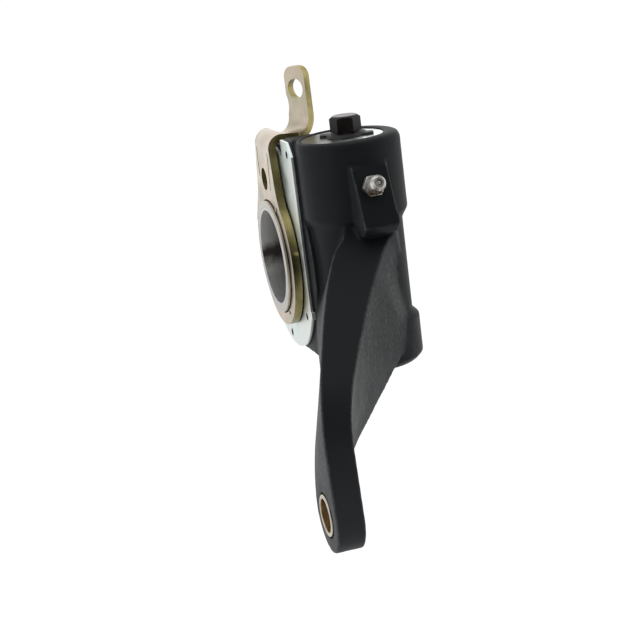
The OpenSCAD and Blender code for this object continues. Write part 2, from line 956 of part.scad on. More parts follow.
module rack() {
    tooth = PI * pinion_module;
    half = tooth / 4 - 0.22;
    flank = pinion_module * 0.33;
    color([0.42, 0.43, 0.44])
        union() {
            translate([-rack_back, -rack_near, rack_z - rack_h / 2])
                cube([rack_back - rack_root, rack_near + 2.6, rack_h]);
            for (i = [-2 : 3])
                translate([-rack_line, -worm_dist - (i - 0.5) * tooth, rack_z - rack_h / 2])
                    linear_extrude(height = rack_h)
                        polygon([
                            [rack_line - rack_root - 0.5, -half - flank],
                            [0.7 * pinion_module, -half + flank],
                            [0.7 * pinion_module, half - flank],
                            [rack_line - rack_root - 0.5, half + flank]
                        ]);
            translate([-disc_out + 0.3, -2.6, rack_z - rack_h / 2])
                cube([disc_out - rack_root - 0.3, 5.2, rack_h]);
            translate([-disc_out + 0.3, -2.6, notch_r + 0.5])
                cube([disc_out - disc_in - 0.6, 5.2, rack_z - notch_r - 0.5]);
        }
}

module clutch_pinion() {
    tooth = PI * pinion_module;
    half = tooth / 4 - 0.22;
    flank = pinion_module * 0.33;
    color([0.6, 0.58, 0.5])
        difference() {
            at_worm()
                union() {
                    translate([0, 0, flange_z + 4.3])
                        cylinder(r = journal_r + 1.3, h = rack_z + 6 - flange_z - 4.3);
                    translate([0, 0, rack_z - 3])
                        cylinder(r = pinion_root_r, h = 6);
                    for (i = [0 : pinion_teeth - 1])
                        rotate([0, 0, 180 + 360 * i / pinion_teeth])
                            translate([0, 0, rack_z - 3])
                                linear_extrude(height = 6)
                                    polygon([
                                        [pinion_root_r - 0.6, -half - flank],
                                        [pinion_pitch_r, -half * 0.96],
                                        [pinion_tip_r, -half + flank],
                                        [pinion_tip_r, half - flank],
                                        [pinion_pitch_r, half * 0.96],
                                        [pinion_root_r - 0.6, half + flank]
                                    ]);
                }
            at_worm()
                cylinder(r = journal_r + journal_play, h = barrel_top);
        }
}

module wrap_spring() {
    color([0.3, 0.31, 0.33])
        at_worm()
            translate([0, 0, flange_z + 7.55])
                coil(journal_r + 2.4, 0.8, 3, 1.75);
}

housing();
clevis_bush();
cover_gasket();
cover_plate();
cover_screws();
control_seal();
wheel_seal();
grease_nipple();
nipple_ball();
end_cover();
hex_grommet();
top_bearing();
thrust_washer();
spring_seat();
coil_spring();
bottom_plug();
worm_screw();
clutch_sleeve();
worm_wheel();
retaining_ring();
control_arm();
control_disc();
disc_rivets();
rack();
clutch_pinion();
wrap_spring();
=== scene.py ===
import json
import math
from functools import cache

import bmesh
import bpy
from bpy.props import FloatProperty, FloatVectorProperty, IntProperty, PointerProperty
from mathutils import Matrix, Vector


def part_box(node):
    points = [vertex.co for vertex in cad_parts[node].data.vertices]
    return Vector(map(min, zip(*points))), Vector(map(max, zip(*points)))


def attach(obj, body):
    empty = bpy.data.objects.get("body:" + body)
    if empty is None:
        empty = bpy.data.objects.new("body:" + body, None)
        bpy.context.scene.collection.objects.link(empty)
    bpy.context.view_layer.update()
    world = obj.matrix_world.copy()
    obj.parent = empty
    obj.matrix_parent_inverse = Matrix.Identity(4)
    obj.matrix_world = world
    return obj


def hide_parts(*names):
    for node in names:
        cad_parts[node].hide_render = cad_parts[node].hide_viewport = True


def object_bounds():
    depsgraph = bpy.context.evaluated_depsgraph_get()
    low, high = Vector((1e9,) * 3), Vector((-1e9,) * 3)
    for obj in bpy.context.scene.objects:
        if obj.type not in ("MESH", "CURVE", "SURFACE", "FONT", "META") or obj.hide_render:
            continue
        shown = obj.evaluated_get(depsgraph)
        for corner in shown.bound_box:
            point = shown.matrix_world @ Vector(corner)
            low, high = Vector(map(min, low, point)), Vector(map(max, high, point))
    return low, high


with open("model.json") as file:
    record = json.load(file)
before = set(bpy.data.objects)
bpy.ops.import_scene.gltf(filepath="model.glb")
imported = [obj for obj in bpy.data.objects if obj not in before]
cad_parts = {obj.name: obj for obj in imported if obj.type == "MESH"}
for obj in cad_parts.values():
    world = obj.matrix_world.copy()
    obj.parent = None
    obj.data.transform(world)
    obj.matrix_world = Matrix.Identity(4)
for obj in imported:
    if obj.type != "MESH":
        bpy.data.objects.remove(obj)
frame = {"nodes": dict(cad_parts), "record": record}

bl_info = {
    "name": "Brake Slack Adjuster",
    "version": (1, 0, 0),
    "blender": (4, 5, 0),
    "location": "View3D > Sidebar > Adjuster",
    "description": "Gives the slack adjuster its cast, plated and machined surfaces",
    "category": "Object",
}

MM = 0.001
BODIES = {
    node: body
    for body, nodes in frame["record"]["behaviour"]["bodies"].items()
    for node in nodes
}
CAD_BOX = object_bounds()

# The camera that fits the photograph, with its picture taken as 640 by 640 pixels
CAMERA_AZIMUTH = math.radians(-13.57)
CAMERA_ELEVATION = math.radians(15.56)
CAMERA_ROLL = math.radians(-7.29)
CAMERA_OFFSET = (7.51 * MM, -35.53 * MM, 714.53 * MM)
CAMERA_FOCAL_PX = 1506.17
PICTURE_PX = 640
SENSOR_WIDTH = 36.0

# Heights on the control arm, and the way its tab faces
NECK_TOP = 52 * MM
TAB_FOOT = 65 * MM
TAB_TURN = math.radians(31.6)
TAB_NORMAL = Vector((math.cos(TAB_TURN), math.sin(TAB_TURN), 0))

# Radii on the worm wheel and in the clevis bush
COLLAR_RADIUS = 26.5 * MM
COLLAR_BORE_RADIUS = 22.2 * MM
LINING_RADIUS = 7.25 * MM

# Where the lever arm leaves the casting, and what counts as one of its edges
ARM_START = -48 * MM
ARM_EDGE_ANGLE = math.radians(9)
ARM_EDGE_ROWS = 4

# Edges that turn more than this get a bevel
SHARP_ANGLE = math.radians(35)

WORM_AXIS = (0.0, -42 * MM, 0.0)
X_AXIS = Vector((1, 0, 0))
Z_AXIS = Vector((0, 0, 1))

# A height that no piece reaches
OUT_OF_REACH = 1.0

FLOOR_RADIUS = 40.0
CARD_SIZE = 1.1
SOFT_BOX_SIZE = 1.5
SOFT_BOX_POWER = 3.0
SOFT_BOX_TARGET = (0.0, -0.04, 0.0)
SOFT_BOXES = {
    "left_box": (-1.0, -0.30, 0.15),
    "right_box": (1.0, -0.30, 0.15),
    "top_box": (0.0, 0.15, 1.1),
    "back_box": (0.1, 1.2, 0.4),
}


class AdjusterSizes(bpy.types.PropertyGroup):
    """Sizes of the surface detail"""

    casting_grid: FloatProperty(
        name="Casting grid",
        description="Spacing of the mesh that gives the casting its soft edges",
        default=0.65 * MM,
        unit="LENGTH",
    )
    casting_soften: IntProperty(
        name="Casting softening",
        description="Smoothing passes over the casting, which round its edges",
        default=5,
    )
    flank_soften: IntProperty(
        name="Flank softening",
        description="Smoothing passes over the open faces of the lever arm",
        default=60,
    )
    bush_groove: FloatProperty(
        name="Bush groove",
        description="Width of the open groove round the clevis bush",
        default=0.8 * MM,
        unit="LENGTH",
    )
    sheet_edge: FloatProperty(
        name="Sheet edge",
        description="Rounding of the control arm's punched edges",
        default=0.5 * MM,
        unit="LENGTH",
    )
    plate_edge: FloatProperty(
        name="Plate edge",
        description="Rounding of the cover plate's edges",
        default=0.35 * MM,
        unit="LENGTH",
    )
    turned_edge: FloatProperty(
        name="Turned edge",
        description="Chamfer on the edges of turned parts",
        default=0.4 * MM,
        unit="LENGTH",
    )
    floor_drop: FloatProperty(
        name="Floor drop",
        description="Distance from the lowest point of the part down to the floor",
        default=160 * MM,
        unit="LENGTH",
    )


def colour_property(label, about, default):
    """A colour that can be picked in the sidebar"""
    return FloatVectorProperty(
        name=label,
        description=about,
        default=default,
        size=3,
        min=0,
        max=1,
        subtype="COLOR",
    )


class AdjusterColours(bpy.types.PropertyGroup):
    """Colours of the finishes"""

    paint: colour_property("Paint", "Dark paint on the casting", (0.0165, 0.0183, 0.0200))
    # This colour serves rubbed paint, and also painted highlights on edges and painted side light on the
    # arm's flanks
    paint_worn_and_lit: colour_property("Worn paint", "Rubbed paint on edges", (0.155, 0.158, 0.158))
    gold: colour_property("Gold plating", "Yellow passivated zinc", (0.455, 0.40, 0.315))
    gold_pink: colour_property("Pink plating", "Pink tinge in the plating", (0.55, 0.44, 0.36))
    gold_green: colour_property("Green plating", "Green tinge in the plating", (0.365, 0.34, 0.262))
    punched: colour_property("Punched edge", "Rough plated edge of the sheet", (0.23, 0.195, 0.085))
    white_zinc: colour_property("White zinc", "Clear passivated zinc", (0.72, 0.76, 0.74))
    steel: colour_property("Steel", "Turned bare steel", (0.56, 0.56, 0.55))
    phosphate: colour_property("Phosphate", "Black-brown coated steel", (0.0135, 0.0115, 0.011))
    bronze: colour_property("Bronze", "Lining of the clevis bush", (0.46, 0.34, 0.19))
    rubber: colour_property("Rubber", "Seals and grommet", (0.012, 0.012, 0.012))
    wire: colour_property("Spring wire", "Drawn spring steel", (0.22, 0.23, 0.25))


def sizes():
    """The sizes of the current scene"""
    return bpy.context.scene.adjuster_sizes


def colours():
    """The colours of the current scene"""
    return bpy.context.scene.adjuster_colours


# Meshes


def add_piece(bm, name, node, material):
    """Makes an object of a bmesh that stands for a CAD node"""
    mesh = bpy.data.meshes.new(name)
    bm.to_mesh(mesh)
    bm.free()
    return finish_piece(mesh, name, node, material)


def finish_piece(mesh, name, node, material, smooth_angle=35.0):
    """Makes an object of a mesh that stands for a CAD node and rides on its body"""
    mesh.shade_smooth()
    mesh.set_sharp_from_angle(angle=math.radians(smooth_angle))
    mesh.materials.append(material)
    piece = bpy.data.objects.new(name, mesh)
    bpy.context.scene.collection.objects.link(piece)
    weigh = piece.modifiers.new("Weighted normals", "WEIGHTED_NORMAL")
    weigh.keep_sharp = True
    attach(piece, BODIES[node])
    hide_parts(node)
    return piece


def merged_node(node):
    """A bmesh copy of a CAD node with its loose triangles joined into flat faces"""
    bm = bmesh.new()
    bm.from_mesh(frame["nodes"][node].data)
    bmesh.ops.remove_doubles(bm, verts=bm.verts, dist=0.003 * MM)
    bmesh.ops.dissolve_limit(
        bm,
        angle_limit=math.radians(0.3),
        verts=bm.verts,
        edges=bm.edges,
    )
    return bm


def bevel_sharp(bm, width, segments=3):
    """Rounds every sharp edge of a bmesh"""
    sharp = [e for e in bm.edges if e.is_manifold and e.calc_face_angle() > SHARP_ANGLE]
    bmesh.ops.bevel(
        bm,
        geom=sharp,
        offset=width,
        offset_type="OFFSET",
        segments=segments,
        profile=0.5,
        affect="EDGES",
        clamp_overlap=True,
        material=-1,
    )


def rounded_node(node, name, width, material, segments=3):
    """A copy of a CAD node with rounded edges, standing for it"""
    bm = merged_node(node)
    bevel_sharp(bm, width, segments)
    add_piece(bm, name, node, material)


def finish_node(node, material):
    """Gives a CAD node that stays in view its material"""
    mesh = frame["nodes"][node].data
    mesh.materials.clear()
    mesh.materials.append(material)


def turned(profile, axis, steps=72):
    """A closed solid of revolution about an axis through the origin from (distance, radius) points"""
    bm = bmesh.new()
    side = axis.orthogonal().normalized()
    ring = [bm.verts.new(axis * along + side * radius) for along, radius in profile]
    edges = [bm.edges.new((a, b)) for a, b in zip(ring, ring[1:] + ring[:1])]
    bmesh.ops.spin(
        bm,
        geom=ring + edges,
        cent=(0, 0, 0),
        axis=axis,
        angle=math.tau,
        steps=steps,
        use_merge=True,
    )
    bmesh.ops.remove_doubles(bm, verts=bm.verts, dist=0.001 * MM)
    bmesh.ops.dissolve_degenerate(bm, edges=bm.edges, dist=0.0005 * MM)
    bmesh.ops.recalc_face_normals(bm, faces=bm.faces)
    return bm


# Node trees


def add_node(tree, kind, inputs=None, **settings):
    """Adds a node, sets its properties and fills or links its inputs"""
    made = tree.nodes.new(kind)
    for key, value in settings.items():
        setattr(made, key, value)
    for key, value in (inputs or {}).items():
        put(tree, made.inputs[key], value)
    return made


def put(tree, socket, value):
    """Links a socket, or sets its constant"""
    if isinstance(value, bpy.types.NodeSocket):
        tree.links.new(value, socket)
    elif socket.type == "RGBA" and len(value) == 3:
        socket.default_value = (*value, 1.0)
    else:
        socket.default_value = value


def math_node(tree, operation, a, b=0.0, clamp=False):
    """The output of a Math node"""
    made = add_node(tree, "ShaderNodeMath", {0: a, 1: b}, operation=operation, use_clamp=clamp)
    return made.outputs[0]


def vector_node(tree, operation, a, b):
    """The vector output of a Vector Math node"""
    made = add_node(tree, "ShaderNodeVectorMath", {0: a, 1: b}, operation=operation)
    return made.outputs["Vector"]


def mix_colour(tree, factor, a, b):
    """The colour output of a Mix node"""
    made = tree.nodes.new("ShaderNodeMix")
    made.data_type = "RGBA"
    put(tree, made.inputs["Factor"], factor)
    put(tree, made.inputs[6], a)
    put(tree, made.inputs[7], b)
    return made.outputs[2]


def spread(tree, value, low, high, to_low=0.0, to_high=1.0):
    """A value stretched from one range to another and held inside it"""
    made = add_node(
        tree,
        "ShaderNodeMapRange",
        {"Value": value, "From Min": low, "From Max": high, "To Min": to_low, "To Max": to_high},
        clamp=True,
    )
    return made.outputs["Result"]


def new_group(name, inputs, outputs):
    """An empty shader node group with its sockets"""
    tree = bpy.data.node_groups.new(name, "ShaderNodeTree")
    for label, kind, default in inputs:
        socket = tree.interface.new_socket(label, in_out="INPUT", socket_type=kind)
        socket.default_value = default
    for label, kind in outputs:
        tree.interface.new_socket(label, in_out="OUTPUT", socket_type=kind)
    return tree, tree.nodes.new("NodeGroupInput"), tree.nodes.new("NodeGroupOutput")


FLOAT = "NodeSocketFloat"
VECTOR = "NodeSocketVector"
COLOUR = "NodeSocketColor"


def grain_group():
    """Noise on the part's own coordinates, stretched along chosen axes"""
    tree, given, result = new_group(
        "Grain",
        [("Scale", FLOAT, 500.0), ("Detail", FLOAT, 3.0), ("Stretch", VECTOR, (1.0, 1.0, 1.0))],
        [("Value", FLOAT)],
    )
    place = add_node(tree, "ShaderNodeTexCoord").outputs["Object"]
    noise = add_node(
        tree,
        "ShaderNodeTexNoise",
        {
            "Vector": vector_node(tree, "MULTIPLY", place, given.outputs["Stretch"]),
            "Scale": given.outputs["Scale"],
            "Detail": given.outputs["Detail"],
            "Roughness": 0.6,
        },
    )
    tree.links.new(noise.outputs["Fac"], result.inputs["Value"])
    return tree


def wear_group():
    """Mask of the rubbed edges: where the rounded normal turns away from the true one"""
    tree, given, result = new_group(
        "Edge wear",
        [("Width", FLOAT, 0.6 * MM), ("Gain", FLOAT, 8.0), ("Breakup", FLOAT, 300.0)],
        [("Mask", FLOAT)],
    )
    soft = add_node(tree, "ShaderNodeBevel", {"Radius": given.outputs["Width"]}, samples=6)
    true = add_node(tree, "ShaderNodeNewGeometry")
    dot = add_node(
        tree,
        "ShaderNodeVectorMath",
        {0: soft.outputs["Normal"], 1: true.outputs["Normal"]},
        operation="DOT_PRODUCT",
    )
    turn = math_node(tree, "SUBTRACT", 1.0, dot.outputs["Value"])
    edge = math_node(tree, "MULTIPLY", turn, given.outputs["Gain"], clamp=True)
    place = add_node(tree, "ShaderNodeTexCoord").outputs["Object"]
    noise = add_node(
        tree,
        "ShaderNodeTexNoise",
        {"Vector": place, "Scale": given.outputs["Breakup"], "Detail": 4.0},
    )
    broken = spread(tree, noise.outputs["Fac"], 0.32, 0.62, 0.15, 1.0)
    tree.links.new(math_node(tree, "MULTIPLY", edge, broken), result.inputs["Mask"])
    return tree


def rub_and_highlight_group():
    """Mask of the raised edges of a dense mesh, where paint rubs thin and a painted highlight lies along
    the edge
    """
    tree, given, result = new_group(
        "Rubbed edges and painted highlights",
        [("Low", FLOAT, 0.53), ("High", FLOAT, 0.6), ("Breakup", FLOAT, 300.0)],
        [("Mask", FLOAT)],
    )
    raised = add_node(tree, "ShaderNodeNewGeometry").outputs["Pointiness"]
    edge = spread(tree, raised, given.outputs["Low"], given.outputs["High"])
    place = add_node(tree, "ShaderNodeTexCoord").outputs["Object"]
    noise = add_node(
        tree,
        "ShaderNodeTexNoise",
        {"Vector": place, "Scale": given.outputs["Breakup"], "Detail": 4.0},
    )
    broken = spread(tree, noise.outputs["Fac"], 0.32, 0.62, 0.25, 1.0)
    tree.links.new(math_node(tree, "MULTIPLY", edge, broken), result.inputs["Mask"])
    return tree


def turning_group():
    """Fine rings left by a lathe about the X axis through a centre"""
    tree, given, result = new_group(
        "Turning marks",
        [("Centre", VECTOR, (0.0, 0.0, 0.0)), ("Pitch", FLOAT, 0.25 * MM)],
        [("Value", FLOAT), ("Radius", FLOAT)],
    )
    place = add_node(tree, "ShaderNodeTexCoord").outputs["Object"]
    arm = vector_node(tree, "SUBTRACT", place, given.outputs["Centre"])
    flat = vector_node(tree, "MULTIPLY", arm, (0.0, 1.0, 1.0))
    radius = add_node(tree, "ShaderNodeVectorMath", {0: flat}, operation="LENGTH").outputs["Value"]
    along = add_node(tree, "ShaderNodeSeparateXYZ", {"Vector": arm}).outputs["X"]
    sweep = math_node(tree, "ADD", radius, along)
    turns = math_node(tree, "DIVIDE", sweep, given.outputs["Pitch"])
    noise = add_node(
        tree,
        "ShaderNodeTexNoise",
        {"W": turns, "Scale": 1.0, "Detail": 2.0},
        noise_dimensions="1D",
    )
    tree.links.new(noise.outputs["Fac"], result.inputs["Value"])
    tree.links.new(radius, result.inputs["Radius"])
    return tree


def tint_group():
    """Two tinges drifting over a plated surface"""
    tree, given, result = new_group(
        "Plating tint",
        [
            ("Base", COLOUR, (1, 1, 1, 1)),
            ("Warm", COLOUR, (1, 1, 1, 1)),
            ("Cool", COLOUR, (1, 1, 1, 1)),
            ("Scale", FLOAT, 60.0),
        ],
        [("Color", COLOUR)],
    )
    place = add_node(tree, "ShaderNodeTexCoord").outputs["Object"]
    shifted = vector_node(tree, "ADD", place, (0.31, 0.17, 0.53))
    masks = []
    for where in (place, shifted):
        noise = add_node(
            tree,
            "ShaderNodeTexNoise",
            {"Vector": where, "Scale": given.outputs["Scale"], "Detail": 3.0},
        )
        masks.append(spread(tree, noise.outputs["Fac"], 0.42, 0.66))
    warm = mix_colour(tree, masks[0], given.outputs["Base"], given.outputs["Warm"])
    tint = mix_colour(tree, masks[1], warm, given.outputs["Cool"])
    tree.links.new(tint, result.inputs["Color"])
    return tree


GROUP_MAKERS = {
    "Grain": grain_group,
    "Edge wear": wear_group,
    "Rubbed edges and painted highlights": rub_and_highlight_group,
    "Turning marks": turning_group,
    "Plating tint": tint_group,
}


def group_node(tree, name, **inputs):
    """A node of a shared group, which is built at its first use"""
    group = bpy.data.node_groups.get(name) or GROUP_MAKERS[name]()
    made = tree.nodes.new("ShaderNodeGroup")
    made.node_tree = group
    for key, value in inputs.items():
        put(tree, made.inputs[key.capitalize()], value)
    return made


# Materials


def new_material(name, **constants):
    """A material with one Principled shader and its constant values"""
    material = bpy.data.materials.new(name)
    material.use_nodes = True
    shader = material.node_tree.nodes["Principled BSDF"]
    for key, value in constants.items():
        put(material.node_tree, shader.inputs[key.replace("_", " ").title()], value)
    return material, material.node_tree, shader


def bump(tree, shader, height, strength, depth):
    """Feeds a height into the shader's normal"""
    made = add_node(
        tree,
        "ShaderNodeBump",
        {"Height": height, "Strength": strength, "Distance": depth},
    )
    tree.links.new(made.outputs["Normal"], shader.inputs["Normal"])


@cache
def cast_paint():
    """Thin dark paint with painted fill light that makes it paler down the lever arm, sandy on its flanks
    where painted side light also lies, rubbed on the edges with a painted highlight along them
    """
    material, tree, shader = new_material("cast_paint")
    shader.inputs["Specular IOR Level"].default_value = 0.09
    tint = colours()
    paint = Vector(tint.paint)
    worn_and_lit = tuple(tint.paint_worn_and_lit)
    coords = add_node(tree, "ShaderNodeTexCoord")
    place = coords.outputs["Object"]
    spot = add_node(tree, "ShaderNodeSeparateXYZ", {"Vector": place})
    from_worm = vector_node(tree, "SUBTRACT", place, WORM_AXIS)
    level = vector_node(tree, "MULTIPLY", from_worm, (1.0, 1.0, 0.0))
    barrel = add_node(tree, "ShaderNodeVectorMath", {0: level}, operation="LENGTH").outputs["Value"]
    facing = add_node(tree, "ShaderNodeSeparateXYZ", {"Vector": coords.outputs["Normal"]}).outputs["X"]
    outward = spread(tree, spot.outputs["Y"], -46 * MM, -56 * MM)
    below = spread(tree, spot.outputs["Z"], 14 * MM, 4 * MM)
    clear = spread(tree, barrel, 22 * MM, 23.5 * MM)
    on_arm = math_node(tree, "MULTIPLY", math_node(tree, "MULTIPLY", outward, below), clear)
    # Painted side light: faces turned towards ±X, where the side lamps stand, take the paler sandy colour,
    # partly real forging grit and partly painted light
    side_lamp_facing = spread(tree, math_node(tree, "ABSOLUTE", facing), 0.5, 0.85)
    flank = math_node(tree, "MULTIPLY", on_arm, side_lamp_facing)
    clouds = group_node(tree, "Grain", scale=60.0, detail=4.0)
    patches = group_node(tree, "Grain", scale=210.0, detail=5.0, stretch=(1.0, 1.0, 0.22))
    grit = group_node(tree, "Grain", scale=1150.0, detail=6.0, stretch=(1.0, 1.0, 0.55))
    marks = group_node(tree, "Grain", scale=420.0, detail=5.0, stretch=(1.0, 1.0, 0.3))
    even = mix_colour(
        tree,
        spread(tree, clouds.outputs["Value"], 0.3, 0.7),
        tuple(paint * 0.88),
        tuple(paint * 1.12),
    )
    # Painted fill light: the paint turns paler with depth down the lever arm, standing in for light from
    # below
    outer = spread(tree, spot.outputs["Z"], -30 * MM, -75 * MM, 0.0, 0.85)
    base = mix_colour(tree, outer, even, tuple(paint * 2.9))
    sand = math_node(
        tree,
        "MULTIPLY",
        spread(tree, grit.outputs["Value"], 0.42, 0.70),
        spread(tree, patches.outputs["Value"], 0.32, 0.68, 0.25, 1.0),
    )
    sand_and_painted_side_light = math_node(tree, "MULTIPLY", math_node(tree, "MULTIPLY", sand, flank), 0.75)
    forged_and_side_lit = mix_colour(tree, sand_and_painted_side_light, base, worn_and_lit)
    scuffs = math_node(tree, "MULTIPLY", spread(tree, marks.outputs["Value"], 0.66, 0.78, 0.0, 0.6), flank)
    scuffed = mix_colour(tree, scuffs, forged_and_side_lit, worn_and_lit)
    # Rubbed paint and painted highlight: raised edges take the pale worn colour
    rub_and_highlight = group_node(tree, "Rubbed edges and painted highlights", low=0.52, high=0.565, breakup=220.0)
    tree.links.new(mix_colour(tree, rub_and_highlight.outputs["Mask"], scuffed, worn_and_lit), shader.inputs["Base Color"])
    tree.links.new(spread(tree, clouds.outputs["Value"], 0.3, 0.7, 0.46, 0.56), shader.inputs["Roughness"])
    relief = math_node(
        tree,
        "ADD",
        math_node(tree, "MULTIPLY", grit.outputs["Value"], flank),
        math_node(tree, "MULTIPLY", patches.outputs["Value"], 0.4),
    )
    bump(tree, shader, relief, 0.3, 0.1 * MM)
    return material


def plating(name, base, warm, cool, roughness, tint_scale):
    """Zinc plating with drifting tinges, fine rolling lines and brighter edges"""
    material, tree, shader = new_material(name, metallic=1.0)
    tint = group_node(tree, "Plating tint", base=base, warm=warm, cool=cool, scale=tint_scale)
    rolled = group_node(tree, "Grain", scale=900.0, detail=3.0, stretch=(1.0, 1.0, 0.12))
    clouds = group_node(tree, "Grain", scale=110.0, detail=4.0)
    wear = group_node(tree, "Edge wear", width=0.5 * MM, gain=4.0, breakup=500.0)
    shade = spread(tree, rolled.outputs["Value"], 0.3, 0.7, 0.0, 0.22)
    lined = mix_colour(tree, shade, tint.outputs["Color"], tuple(Vector(base) * 0.62))
    edge = math_node(tree, "MULTIPLY", wear.outputs["Mask"], 0.35)
    bright = tuple(min(1.0, c * 1.35) for c in base)
    tree.links.new(mix_colour(tree, edge, lined, bright), shader.inputs["Base Color"])
    soft = spread(tree, clouds.outputs["Value"], 0.3, 0.7, roughness - 0.07, roughness + 0.09)
    tree.links.new(soft, shader.inputs["Roughness"])
    relief = math_node(tree, "ADD", rolled.outputs["Value"], clouds.outputs["Value"])
    bump(tree, shader, relief, 0.18, 0.05 * MM)
    return material


@cache
def gold_plating():
    """Yellow passivated zinc of the control arm"""
    tint = colours()
    return plating(
        "gold_plating",
        tuple(tint.gold),
        tuple(tint.gold_pink),
        tuple(tint.gold_green),
        0.34,
        58.0,
    )


@cache
def punched_edge():
    """Rough punched edge of the control arm under its plating, its golden tinge partly plating tone and
    partly painted highlight
    """
    base = Vector(colours().punched)
    # The warm tinge, almost twice the base, drifts between brown and gold and stands in partly as painted
    # highlight
    return plating("punched_edge", tuple(base), tuple(base * 1.9), tuple(base * 0.75), 0.34, 60.0)


@cache
def white_plating():
    """Clear passivated zinc of the cover and small parts"""
    base = Vector(colours().white_zinc)
    warm = (base.x * 1.02, base.y * 0.98, base.z * 0.93)
    cool = (base.x * 0.92, base.y * 0.99, base.z * 1.0)
    return plating("white_plating", tuple(base), warm, cool, 0.42, 70.0)


@cache
def end_disc_zinc_with_painted_reflection():
    """Clear passivated zinc of the end disc, with a painted dark reflection towards −X"""
    material, tree, shader = new_material("end_disc_zinc_with_painted_reflection", metallic=1.0)
    base = Vector(colours().white_zinc)
    place = add_node(tree, "ShaderNodeTexCoord").outputs["Object"]
    along = add_node(tree, "ShaderNodeSeparateXYZ", {"Vector": place}).outputs["X"]
    patch_noise = group_node(tree, "Grain", scale=110.0, detail=4.0)
    fine = group_node(tree, "Grain", scale=900.0, detail=3.0)
    wander = spread(tree, patch_noise.outputs["Value"], 0.3, 0.7, -5 * MM, 5 * MM)
    # Painted reflection: the disc turns dark towards −X
    dark_patch_mask = spread(tree, math_node(tree, "ADD", along, wander), 1 * MM, -8 * MM, 0.0, 0.95)
    shade = spread(tree, fine.outputs["Value"], 0.3, 0.7, 0.0, 0.3)
    clean = mix_colour(tree, shade, tuple(base * 1.1), tuple(base * 0.8))
    tree.links.new(mix_colour(tree, dark_patch_mask, clean, (0.050, 0.050, 0.044)), shader.inputs["Base Color"])
    tree.links.new(spread(tree, patch_noise.outputs["Value"], 0.3, 0.7, 0.3, 0.45), shader.inputs["Roughness"])
    bump(tree, shader, fine.outputs["Value"], 0.15, 0.03 * MM)
    return material


@cache
def turned_steel():
    """Bare steel with lathe rings about the camshaft axis, with painted shade deeper in the bore, towards
    its bottom and along the collar's foot, and a painted dark reflection band round the bore
    """
    material, tree, shader = new_material("turned_steel")
    base = Vector(colours().steel)
    rings = group_node(tree, "Turning marks", pitch=0.22 * MM)
    stains = group_node(tree, "Grain", scale=140.0, detail=4.0)
    radius = rings.outputs["Radius"]
    inside = spread(tree, radius, COLLAR_BORE_RADIUS + 0.7 * MM, COLLAR_BORE_RADIUS + 0.1 * MM)
    stained = spread(tree, stains.outputs["Value"], 0.48, 0.75, 0.0, 0.6)
    shade = spread(tree, rings.outputs["Value"], 0.3, 0.7, 0.0, 0.35)
    warm = Vector((base.x * 0.70, base.y * 0.68, base.z * 0.63))
    lined = mix_colour(tree, shade, tuple(warm), tuple(warm * 0.65))
    stained_face = mix_colour(tree, stained, lined, tuple(warm * 0.6))
    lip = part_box("worm_wheel")[0].x
    place = add_node(tree, "ShaderNodeTexCoord").outputs["Object"]
    spot = add_node(tree, "ShaderNodeSeparateXYZ", {"Vector": place})
    wall = spread(tree, radius, COLLAR_RADIUS - 0.3 * MM, COLLAR_RADIUS - 0.1 * MM)
    # Painted shade: behind a thin light band at its face, the collar's wall turns dark where it meets the
    # control ring
    painted_gap_shade = spread(tree, spot.outputs["X"], lip + 0.75 * MM, lip + 1.05 * MM)
    side = mix_colour(tree, painted_gap_shade, (0.64, 0.58, 0.49), (0.05, 0.045, 0.04))
    face = mix_colour(tree, wall, stained_face, side)
    # Painted shade: the bore darkens with depth from the lip
    painted_depth_shade = spread(tree, spot.outputs["X"], lip + 1 * MM, lip + 9 * MM, 0.0, 0.75)
    # Painted reflection: a dark band round the bore's middle height, its edges wandering with the stain
    # noise
    wander = spread(tree, stains.outputs["Value"], 0.3, 0.7, 1 * MM, 5 * MM)
    height = math_node(tree, "ABSOLUTE", math_node(tree, "ADD", spot.outputs["Z"], wander))
    painted_reflection_band = spread(tree, height, 1.5 * MM, 7 * MM, 0.95, 0.0)
    # Painted shade: the bore turns darker and greyer towards its bottom
    painted_low_shade = spread(tree, spot.outputs["Z"], -9 * MM, -14 * MM, 0.0, 0.6)
    streaked = mix_colour(
        tree,
        spread(tree, rings.outputs["Value"], 0.3, 0.7),
        (0.98, 0.98, 0.95),
        (0.74, 0.73, 0.70),
    )
    depth_shaded_bore = mix_colour(tree, painted_depth_shade, streaked, (0.22, 0.21, 0.20))
    low_shaded_bore = mix_colour(tree, painted_low_shade, depth_shaded_bore, (0.26, 0.27, 0.29))
    bore_with_painted_band = mix_colour(tree, painted_reflection_band, low_shaded_bore, (0.055, 0.045, 0.040))
    bore = mix_colour(tree, inside, face, bore_with_painted_band)
    tree.links.new(bore, shader.inputs["Base Color"])
    dull = math_node(tree, "MAXIMUM", inside, wall)
    tree.links.new(spread(tree, dull, 0.0, 1.0, 1.0, 0.4), shader.inputs["Metallic"])
    tree.links.new(spread(tree, rings.outputs["Value"], 0.3, 0.7, 0.22, 0.38), shader.inputs["Roughness"])
    bump(tree, shader, rings.outputs["Value"], 0.25, 0.03 * MM)
    return material


